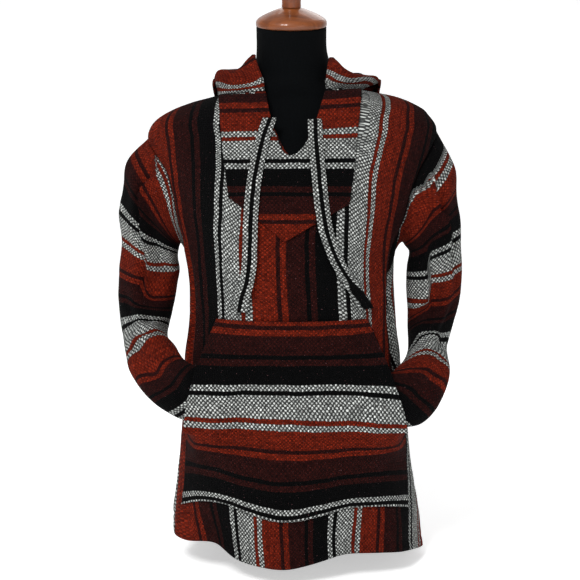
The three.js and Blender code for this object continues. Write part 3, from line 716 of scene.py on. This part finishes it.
def bib():
    half, low, high = 36, 30, 30
    rows, columns = low + high, 2 * half + 1

    def spot(u, v):
        i = round(u * columns)
        side = -1 if i <= half else 1
        share = (i if side < 0 else columns - i) / half
        row = v * rows
        foot = mix(BIB_CORNER[side], BIB_TIP["level"], share)
        level = mix(foot, SLIT_FOOT, row / low) if row <= low else mix(SLIT_FOOT, BIB_TOP, (row - low) / high)
        outer = BIB_EDGE(level)["right" if side < 0 else "left"]
        lean = clamp((SLIT_FOOT - level) / (SLIT_FOOT - BIB_TIP["level"]), 0, 1)
        inner = side * slit_at(level, side) if level > SLIT_FOOT else BIB_TIP["x"] * lean
        x = mix(outer, inner, share)
        return x, level, min(abs(x - outer), (level - foot) * 0.86)

    def place(u, v):
        x, level, edge = spot(u, v)
        lift = LAY_GAP + CLOTH + smooth((level - 640) / 30)
        roll = -0.8 * math.exp(-((edge / 2.5) ** 2)) - 0.7 * math.exp(-(((edge - 8) / 1.8) ** 2))
        return body_point(turn_at(x, level), level, lift + 0.3 + roll)

    def cut(i, j, across, along, mean, at):
        x, level, _ = spot(i / columns, j / rows)
        return (level - BIB_START) * BIB_DRAW, x

    piece = cloth("hoodie_bib", columns, rows, place, cut, split=True)
    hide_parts("bib")
    return piece


def pocket_open(edge_distance, level):
    at_edge = smooth((level - MOUTH_FOOT) / 16)
    inside = smooth((level - SPAN["foot"]) / 70)
    low = mix(at_edge, inside, smooth(edge_distance / 40))
    high = smooth((SPAN["top"] - level) / 56)
    return low * high * (1 - smooth((edge_distance - SPAN["reach"]) / SPAN["fade"]))


# How far the stripes droop, by height and by quarters of the pocket's width
POCKET_DROOP = Table(
    "level at0 at1 at2 at3 at4",
    (90, 0, 0, 0, 0, 0),
    (105, 0, 0, 0, 0, 0),
    (140, 0, 6, 3, 8, 8),
    (180, -7, 1, 2, 4, -1),
    (222, 1, 5, 7, 11, 14),
    (256, 1, 1, 1, 2, 9),
    (300, 0, 0, 0, 0, 0),
    (380, 0, 0, 0, 0, 0),
)
POCKET_START = 283  # the level where the first white stripe starts
# The lowest stripes follow the hem's wave, and the wave fades with the height
POCKET_WAVE = {"level": 97, "fade": 130}


def pocket():
    low, high, columns = 30, 50, 110
    rows = low + high

    def place(u, v):
        row = v * rows
        foot = POCKET_HEM(u)["height"]
        if row <= low:
            level = mix(foot, MOUTH_FOOT, row / low)
        else:
            level = mix(MOUTH_FOOT, POCKET_TOP, (row - low) / high)
        edge = POCKET_EDGE(level)
        first, last = turn_at(edge["right"], level), turn_at(edge["left"], level)
        turn = mix(first, last, u)
        inward = min(turn - first, last - turn) * FOLD_REACH
        near = min(inward, level - foot, POCKET_TOP - level)
        roll = -0.8 * math.exp(-((near / 2.5) ** 2)) - 0.7 * math.exp(-(((near - 8) / 1.8) ** 2))
        point = body_point(turn, level, LAY_GAP + CLOTH + 0.3 + roll)
        span = BODY(level)["front"] + SPAN["lead"] - SPAN["backing"] * (point.x / SPAN["breadth"]) ** 2
        bulge = swell(Vector((point.x, 0, level)) + Vector((31, 7, 3)))
        point.y = min(point.y, mix(point.y, -span - bulge, pocket_open(inward, level)))
        return point

    def cut(i, j, across, along, mean, at):
        share = i / columns
        fading = smooth((at.z - POCKET_WAVE["level"]) / POCKET_WAVE["fade"])
        wave = (POCKET_HEM(share)["height"] - POCKET_WAVE["level"]) * (1 - fading)
        droop = POCKET_DROOP(at.z)
        place = share * 4
        k = min(int(place), 3)
        droop = mix(droop[f"at{k}"], droop[f"at{k + 1}"], place - k)
        return POCKET_START - at.z + wave - droop, across

    piece = cloth("hoodie_pocket", columns, rows, place, cut)
    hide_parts("pocket")
    return piece


# The sleeves

def spline(knots, share):
    """A point on a centripetal Catmull-Rom curve, as in the CAD"""
    place = (len(knots) - 1) * share
    k = min(int(place), len(knots) - 2)
    t = place - k
    p1, p2 = knots[k], knots[k + 1]
    p0 = knots[k - 1] if k > 0 else p1 * 2 - p2
    p3 = knots[k + 2] if k + 2 < len(knots) else p2 * 2 - p1
    d0, d1, d2 = ((b - a).length ** 0.5 or 1 for a, b in ((p0, p1), (p1, p2), (p2, p3)))
    first = ((p1 - p0) / d0 - (p2 - p0) / (d0 + d1) + (p2 - p1) / d1) * d1
    second = ((p2 - p1) / d1 - (p3 - p1) / (d1 + d2) + (p3 - p2) / d2) * d1
    a = p1 * 2 - p2 * 2 + first + second
    b = p2 * 3 - p1 * 3 - first * 2 - second
    return ((a * t + b) * t + first) * t + p1


CAD_ARMHOLE_LEVELS = [mix(ARMPIT, SLIT_FOOT, k / 6) for k in range(6)] + [SLIT_FOOT, 611, SHOULDER_END]


def armhole_edge(side, count):
    """The hole's edge from the shoulder down the front to the armpit and up the back"""
    edge = []
    for k in range(count):
        share = 2 * k / count
        piece = "front" if share < 1 else "rear"
        row = 8 * (1 - share) if share < 1 else 8 * (share - 1)
        n = min(int(row), 7)
        level = mix(CAD_ARMHOLE_LEVELS[n], CAD_ARMHOLE_LEVELS[n + 1], row - n)
        on_seam = row < 0.01 or row > 7.99
        turn = side * QUARTER if on_seam else seam_turn(level, side, piece)
        edge.append((body_point(turn, level), body_normal(turn, level)))
    centre = sum((point for point, _ in edge), Vector()) / count
    moved = []
    for k, (point, normal) in enumerate(edge):
        off = (edge[(k + 1) % count][0] - edge[k - 1][0]).cross(normal).normalized()
        if off.dot(centre - point) < 0:
            off.negate()
        moved.append(point + off * 1.5 * SEAM_GAP - normal * 1.6)
    return moved


def sleeve(name, node, rows_of, side, stripes, fold, creases):
    around, length = 168, 150
    edge = armhole_edge(side, around)
    rings = [edge]
    middles = [Vector((side * row[0], row[1], row[2])) for row in rows_of]
    for k, (_, _, _, lean, half, depth) in enumerate(rows_of):
        lean = math.radians(lean)
        outward = Vector((side * math.cos(lean), 0, math.sin(lean)))
        down = (middles[min(k + 1, len(middles) - 1)] - middles[max(k - 1, 0)]).normalized()
        forward = (down.cross(outward) * side).normalized()
        ring = []
        for i in range(around):
            turn = i / around * 2 * math.pi
            rise = fold_rise(SLEEVE_FOLDS, turn, k + 1, SLEEVE_FADE, SLEEVE_REACH)
            across = outward * (half + rise) * math.cos(turn)
            ring.append(middles[k] + across + forward * (depth + rise) * math.sin(turn))
        rings.append(ring)
    lines = [[ring[i] for ring in rings] for i in range(around)]
    cores = [sum(ring, Vector()) / around for ring in rings]
    core_length = [0.0]
    for k in range(length):
        core_length.append(
            core_length[-1] + (spline(cores, (k + 1) / length) - spline(cores, k / length)).length)

    def line_at(u):
        i = round(u * around)
        return (i if side > 0 else around - i) % around

    def place(u, v):
        point = spline(lines[line_at(u)], v)
        spoke = point - spline(cores, v)
        out = spoke.normalized()
        ends = smooth(v * 12) * smooth((1 - v) * 6)
        band = hem_lift((1 - v) * 300)
        turn = line_at(u) / around * 2 * math.pi
        rise = crease_rise(fold, creases, turn, core_length[round(v * length)], spoke.length)
        rise *= 1 - smooth((v - 0.8) * 10)
        return point + out * ((swell(point) + rise) * ends + band * smooth((v - 0.8) * 10))

    def cut(i, j, across, along, mean, at):
        turn = line_at(i / around) / around * 2 * math.pi
        return stripe_at(stripes, fold, turn, mean), across

    piece = cloth(name, around, length, place, cut)
    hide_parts(node)
    return piece


# Where the sleeves' stripes lie, as the photo shows them: the length down the sleeve and the place in the
# woven repeat, along the outer side, the front and the inner side. Creases swallow cloth, more inside.
RIGHT_STRIPES = {
    "outer": ((0, -104), (71, 0), (140, 84), (212, 168), (284, 228), (380, 336), (460, 416)),
    "front": ((0, -128), (10, -110), (24, -81), (55, -30), (76, 0), (129, 58), (172, 87), (211, 168),
              (284, 226), (335, 255), (400, 336), (460, 396)),
    "inner": ((0, -150), (14, -118), (22, -110), (34, -81), (44, -30), (54, 0), (112, 58), (164, 87),
              (212, 168), (270, 226), (330, 255), (400, 336), (460, 396)),
}
LEFT_STRIPES = {
    "outer": ((-20, -200), (0, -172), (1, -131), (6, -124), (11, -118), (20, -110), (47, -81), (66, -41),
              (91, 0), (133, 43), (143, 58), (161, 87), (231, 168), (250, 182), (295, 211), (303, 226),
              (318, 255), (398, 336), (460, 398)),
    "front": ((-20, -200), (0, -172), (1, -119), (7, -110), (37, -81), (55, -60), (80, -35), (100, 0),
              (146, 50), (180, 87), (252, 168), (303, 226), (325, 255), (415, 336), (460, 381)),
    "inner": ((0, -112), (20, -98), (44, -81), (64, -60), (88, -35), (128, 0), (143, 14), (178, 43),
              (187, 49), (197, 58), (216, 87), (238, 142), (280, 168), (335, 226), (367, 255), (433, 336),
              (460, 363)),
}
# Where the front of a sleeve lies folded over its outer side and where its inner side starts: degrees
# round, by the length down the sleeve, how far the fold stands out, and how many degrees the change takes
RIGHT_FOLD = (
    (0, 40, 4, 4, 135, 90), (12, 64, 8, 4, 135, 90), (28, 70, 10, 4, 135, 90), (55, 78, 10, 5, 130, 80),
    (85, 84, 9, 6, 130, 80), (115, 88, 8, 8, 130, 80), (145, 92, 6, 12, 135, 90), (175, 90, 3, 50, 135, 90),
    (205, 60, 0, 90, 135, 90), (500, 45, 0, 90, 135, 90),
)
LEFT_FOLD = (
    (0, 10, 3, 4, 100, 30), (10, 50, 7, 4, 100, 30), (27, 74, 9, 4, 105, 30), (46, 80, 9, 5, 110, 30),
    (62, 66, 10, 6, 116, 40), (84, 64, 8, 16, 116, 40), (100, 60, 4, 50, 112, 8), (185, 50, 0, 80, 108, 8),
    (215, 45, 0, 90, 135, 90), (500, 45, 0, 90, 135, 90),
)
# The left shoulder's black stripe runs on over the top of the sleeve: how far down it, by degrees round
CARRIED_ON = ((0, 17), (50, 15), (75, 12), (92, 0), (180, 0))

# More creases in each sleeve: degrees round and length down at both ends, width, and how far in or out
RIGHT_CREASES = (
    (60, 10, 118, 60, 9, -4), (100, 60, 135, 118, 9, -5), (80, 128, 118, 150, 9, -5),
    (55, 150, 96, 176, 10, 4), (48, 178, 70, 232, 10, -5), (76, 180, 94, 236, 11, 5),
    (104, 190, 118, 240, 9, -5), (62, 236, 120, 262, 8, -6), (40, 262, 110, 288, 8, -5),
    (70, 252, 120, 274, 8, 4), (30, 300, 96, 330, 10, -4), (60, 322, 110, 352, 9, -3),
    (45, 345, 80, 392, 9, -3), (95, 300, 120, 332, 9, 3),
)
LEFT_CREASES = (
    (66, 10, 120, 60, 9, -4), (96, 62, 140, 116, 9, -5), (44, 96, 84, 150, 9, -6),
    (100, 120, 118, 168, 10, -6), (84, 84, 94, 192, 12, -13), (60, 96, 70, 180, 8, 5),
    (116, 92, 118, 172, 8, 5), (38, 178, 70, 240, 10, -7), (88, 186, 100, 238, 9, -7),
    (64, 190, 80, 240, 10, 5), (36, 248, 106, 284, 7, -7), (60, 246, 112, 268, 9, 6),
    (52, 284, 116, 300, 9, -4), (70, 312, 128, 330, 9, -5), (42, 318, 88, 362, 9, -4),
    (60, 352, 96, 392, 9, -3),
)


def front_side(turn):
    """Degrees from the outer side to the inner side, over the front or over the back"""
    return math.degrees(min(turn, 2 * math.pi - turn))


def stripe_at(stripes, fold, turn, length):
    degrees = front_side(turn)
    edge, _, width, far, change = between(fold, length if turn < math.pi else 500)
    if fold is LEFT_FOLD:
        length -= between(CARRIED_ON, degrees) * smooth(1 - length / 80)
    outer, front, inner = (between(stripes[line], length) for line in ("outer", "front", "inner"))
    place = mix(outer, front, smooth((degrees - edge) / width + 0.5))
    return mix(place, inner, smooth((degrees - far) / change + 0.5))


def crease_rise(fold, creases, turn, length, reach):
    """The fold's edge, which stands out over the outer side, and the creases"""
    degrees = math.degrees(turn)
    rise = 0
    if degrees < 180:
        edge, depth, *_ = between(fold, length)
        away = math.radians(degrees - edge) * reach
        over, width = (0.6, 16) if away > 0 else (-0.8, 12)
        rise += depth * over * math.exp(-((away / width) ** 2))
    for first, low, second, high, width, height in creases:
        a = Vector((math.radians(first) * reach, low))
        b = Vector((math.radians(second) * reach, high))
        spot = Vector((math.radians(degrees) * reach, length))
        share = clamp((spot - a).dot(b - a) / (b - a).length_squared, 0, 1)
        away = (spot - mix(a, b, share)).length
        rise += height * math.sin(math.pi * (0.15 + 0.7 * share)) * math.exp(-((away / width) ** 2))
    return rise


# The hood

def neckline_point(way, side):
    first = turn_at(SLIT[side] + 1, NECKLINE)
    turn = mix(first, math.pi, way ** 0.9)
    return body_point(side * turn, NECKLINE) + Vector((0, 0, SEAM_GAP * 2))


def hood_half(name, node, side, start):
    around, down = 84, 130
    spread = HOOD_SPREAD[side]

    def place(u, v):
        way = u if side > 0 else 1 - u
        row = HOOD(way)
        out = side * mix(1, spread, math.sin(way * math.pi))
        knots = [neckline_point(way, side)]
        knots += [Vector((out * row[k + "x"], row[k + "y"], row[k + "z"])) for k in "cibo"]
        knots.append(Vector((out * row["ex"], row["ey"], row["ez"])))
        foot, top, dip, drop = HOOD_CORNER[side]
        corner = 1 - smooth(way / CORNER_REACH)
        sag = drop * math.exp(-(((way - SAG_AT) / SAG_WIDTH) ** 2))
        for knot in knots[1:]:
            share = clamp((knot.z - HOOD_LOW) / (HOOD_HIGH - HOOD_LOW), 0, 1)
            knot.x += mix(foot, top, share) * corner
            knot.z -= (dip * corner + sag) * share
        point = spline(knots, v)
        fade = smooth(v * 10) * smooth((1 - way) * 8)
        lift = swell(point) * fade
        point += Vector((point.x, point.y - 20, 0)).normalized() * lift
        point.x = side * max(side * point.x, 0) + side * SEAM_GAP / 2
        return point

    def cut(i, j, across, along, mean, at):
        return start + along, across

    piece = cloth(name, around, down, place, cut)
    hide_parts(node)
    return piece


# The ties

def right_tie_stripes(share):
    """A black stripe between two white ones, from edge to edge"""
    return 0, 22


def left_tie_stripes(share):
    """The same, but near its end the tie turns and shows little more than the black stripe."""
    turned_away = smooth((share - 0.68) * 8)
    return mix(0, 7.2, turned_away), mix(22, 14.2, turned_away)


def route_point(route, share):
    place = (len(route) - 1) * share
    k = min(int(place), len(route) - 2)
    t = place - k
    rows = [Vector(route[clamp(k + n, 0, len(route) - 1)]) for n in (-1, 0, 1, 2)]
    p0, p1, p2, p3 = rows
    v0, v1 = (p2 - p0) * 0.5, (p3 - p1) * 0.5
    a = p1 * 2 - p2 * 2 + v0 + v1
    b = p2 * 3 - p1 * 3 - v0 * 2 - v1
    return ((a * t + b) * t + v0) * t + p1


def tie(name, node, route, length, stripes):
    around, steps = 24, 110

    def spot(u, v):
        turn = (u + 0.5 / around) * 2 * math.pi
        c, s = math.cos(turn), math.sin(turn)
        at = route_point(route, v)
        x = math.copysign(abs(c) ** 0.55, c) * TIE["width"] / 2
        y = math.copysign(abs(s) ** 0.75, s) * TIE["depth"] / 2
        end = min(v * length, (1 - v) * length)
        y *= 0.35 + 0.65 * smooth(end / 4)
        x *= 0.92 + 0.08 * smooth(end / 5)
        y += 0.35 * math.cos(x / TIE["width"] * 4 * math.pi)
        return at, x, y

    def place(u, v):
        at, x, y = spot(u, v)
        return body_point(turn_at(at.x + x, at.y), at.y, TIE["lift"] + y)

    def cut(i, j, across, along, mean, at):
        _, x, _ = spot(i / around, j / steps)
        left, right = stripes(j / steps)
        return mix(left, right, x / TIE["width"] + 0.5), mean

    piece = cloth_tube(name, around, steps, place, cut)
    path = [body_point(turn_at(p.x, p.y), p.y, TIE["lift"]) * MM for p in
            (route_point(route, k / 60) for k in range(61))]
    real = sum((b - a).length for a, b in zip(path, path[1:]))
    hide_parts(node)
    tuple(path[0])
    [tuple(p) for p in path]
    return piece


def cloth_tube(name, around, steps, place, cut):
    mesh = bmesh.new()
    bmesh.ops.create_grid(mesh, x_segments=around, y_segments=steps, size=0.5)
    spots, at = {}, {}
    for vertex in mesh.verts:
        i = round((vertex.co.x + 0.5) * around)
        j = round((vertex.co.y + 0.5) * steps)
        vertex.co = place(i / around, j / steps)
        spots[vertex], at[i, j] = (i, j), vertex.co.copy()
    lengths = [0.0]
    for j in range(steps):
        lengths.append(lengths[-1] + (at[0, j + 1] - at[0, j]).length)
    layer = mesh.loops.layers.uv.new("cut")
    for face in mesh.faces:
        for loop in face.loops:
            i, j = spots[loop.vert]
            loop[layer].uv = Vector(cut(i, j, 0, 0, lengths[j], at[i, j])) * MM
    bmesh.ops.scale(mesh, vec=(MM, MM, MM), verts=mesh.verts)
    bmesh.ops.remove_doubles(mesh, verts=mesh.verts, dist=2e-6)
    bmesh.ops.holes_fill(mesh, edges=[edge for edge in mesh.edges if edge.is_boundary], sides=around + 4)
    bmesh.ops.recalc_face_normals(mesh, faces=mesh.faces)
    return finish_piece(name, mesh, SERAPE)


# The dress form

def form_body():
    around = 96
    rings = []
    for level, side, back, half, front, rear in FORM_TRUNK:
        rings.append([ring_point(level, side, back, half, front, rear, 0, k / around * 2 * math.pi)
                      for k in range(around)])
    for level, narrow in FORM_SHOULDERS:
        ring = []
        for k in range(around):
            turn = k / around * 2 * math.pi
            inset = CLOTH + REST_GAP + CHEST_SLACK * math.cos(turn) ** 2
            point = body_ring(turn, level) - body_normal(turn, level) * inset
            point.x *= narrow
            ring.append(point)
        rings.append(ring)
    for level, side, back, half, front, rear, shift in FORM_NECK:
        rings.append([ring_point(level, side, back, half, front, rear, shift, k / around * 2 * math.pi, bow=1)
                      for k in range(around)])
    lines = [[ring[i] for ring in rings] for i in range(around)]
    steps = 130
    mesh = bmesh.new()
    bmesh.ops.create_grid(mesh, x_segments=around, y_segments=steps, size=0.5)
    for vertex in mesh.verts:
        i = round((vertex.co.x + 0.5) * around) % around
        j = round((vertex.co.y + 0.5) * steps)
        vertex.co = spline(lines[i], j / steps) * MM
    bmesh.ops.remove_doubles(mesh, verts=mesh.verts, dist=2e-6)
    bmesh.ops.holes_fill(mesh, edges=[edge for edge in mesh.edges if edge.is_boundary], sides=around + 4)
    bmesh.ops.recalc_face_normals(mesh, faces=mesh.faces)
    piece = finish_piece("form_body", mesh, JERSEY)
    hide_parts("form_torso")
    return piece


CAP_PROFILE = (
    (0, 0), (30, 0), (50, 0), (51.6, 1.4), (52, 4), (51.6, 7.4), (49, 11), (43.5, 14.6), (35, 18.9),
    (26, 22.6), (18, 25.6), (14, 26.8), (6, 27), (0, 27),
)
FINIAL_PROFILE = (
    (0, 27.3), (13.2, 27.3), (14, 28), (13.9, 32), (13.9, 36), (14.3, 42), (14.9, 48), (15.4, 56),
    (15.9, 64), (16.2, 70), (15.6, 76), (14, 81), (10, 86), (4, 89), (0, 89.3),
)


def turned(name, node, profile, material):
    """A turning on the leaning head of the form, from its outline: distance out and height"""
    mesh = bmesh.new()
    knots = [Vector((out, 0, up)) for out, up in profile]
    steps = len(knots) * 6
    line = [spline(knots, k / steps) for k in range(steps + 1)]
    verts = [mesh.verts.new(point) for point in line]
    edges = [mesh.edges.new(pair) for pair in zip(verts, verts[1:])]
    bmesh.ops.spin(mesh, geom=verts + edges, cent=(0, 0, 0), axis=(0, 0, 1), angle=2 * math.pi, steps=72,
                   use_merge=True)
    bmesh.ops.remove_doubles(mesh, verts=mesh.verts, dist=1e-4)
    lean = math.radians(HEAD["lean"])
    for vertex in mesh.verts:
        x, y, z = vertex.co
        forward = y * math.cos(lean) - z * math.sin(lean)
        up = HEAD["foot"] + y * math.sin(lean) + z * math.cos(lean)
        vertex.co = Vector((x + HEAD["x"], forward, up)) * MM
    bmesh.ops.recalc_face_normals(mesh, faces=mesh.faces)
    piece = finish_piece(name, mesh, material)
    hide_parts(node)
    return piece


# The scene round it

# Each lamp's place in metres, power in watts and width in metres, all aimed at the garment's chest
LAMPS = (
    ("key", (-0.9, -2.0, 2.3), 58, 0.8),
    ("fill", (1.3, -2.4, 0.9), 8, 1.4),
    ("back", (0.3, 1.6, 2.2), 10, 1.4),
)
LAMP_AIM = Vector((0, 0, 0.42))


def studio():
    scene = bpy.context.scene
    scene.view_settings.view_transform = "Standard"
    lens = CAMERA["focus"] * SENSOR / IMAGE
    data = bpy.data.cameras.new("camera")
    data.lens = lens
    data.sensor_width = SENSOR
    camera = bpy.data.objects.new("camera", data)
    up = math.radians(CAMERA["elevation"])
    camera.location = (CAMERA["target"] + Vector((0, -math.cos(up), math.sin(up))) * CAMERA["distance"]) * MM
    camera.rotation_euler = (QUARTER - up, 0, 0)
    scene.collection.objects.link(camera)
    scene.camera = camera

    world = bpy.data.worlds.new("studio")
    world.use_nodes = True
    world.node_tree.nodes["Background"].inputs["Color"].default_value = (1, 1, 1, 1)
    world.node_tree.nodes["Background"].inputs["Strength"].default_value = 0.3
    scene.world = world

    for name, place, power, size in LAMPS:
        lamp = bpy.data.lights.new(name, "AREA")
        lamp.energy = power
        lamp.size = size
        holder = bpy.data.objects.new(name, lamp)
        holder.location = place
        holder.rotation_euler = (LAMP_AIM - holder.location).to_track_quat("-Z", "Y").to_euler()
        scene.collection.objects.link(holder)

    mesh = bmesh.new()
    bmesh.ops.create_grid(mesh, x_segments=2, y_segments=60, size=6)
    for vertex in mesh.verts:
        far = max(vertex.co.y - 2.4, 0)
        vertex.co.z = -0.0005 + 0.6 * far ** 2
    data = bpy.data.meshes.new("floor")
    mesh.to_mesh(data)
    mesh.free()
    data.shade_smooth()
    material, tree = new_material("pale_paper_sweep")
    grain = wire(tree, "TexNoise", {"Scale": 40.0, "Detail": 2.0})
    tone = wire(tree, "Mix", {"Factor": grain, "A": linear("f6f6f6"), "B": linear("fafafa")},
                data_type="RGBA", output=2)
    close_material(tree, Base_Color=tone, Roughness=0.9, Emission_Color=(1, 1, 1, 1), Emission_Strength=0.5)
    data.materials.append(material)
    floor = bpy.data.objects.new("floor", data)
    scene.collection.objects.link(floor)


studio()
tie("tie_right_flat", "tie_right", RIGHT_TIE, 280, right_tie_stripes)
tie("tie_left_flat", "tie_left", LEFT_TIE, 290, left_tie_stripes)
front_panel()
back_panel()
bib()
pocket()
sleeve("hoodie_sleeve_right", "sleeve_right", RIGHT_SLEEVE, -1, RIGHT_STRIPES, RIGHT_FOLD, RIGHT_CREASES)
sleeve("hoodie_sleeve_left", "sleeve_left", LEFT_SLEEVE, 1, LEFT_STRIPES, LEFT_FOLD, LEFT_CREASES)
hood_half("hoodie_hood_right", "hood_right", -1, 38)
hood_half("hoodie_hood_left", "hood_left", 1, 28)
form_body()
turned("form_cap", "neck_cap", CAP_PROFILE, CAP_WOOD)
turned("form_finial", "finial", FINIAL_PROFILE, FINIAL_WOOD)
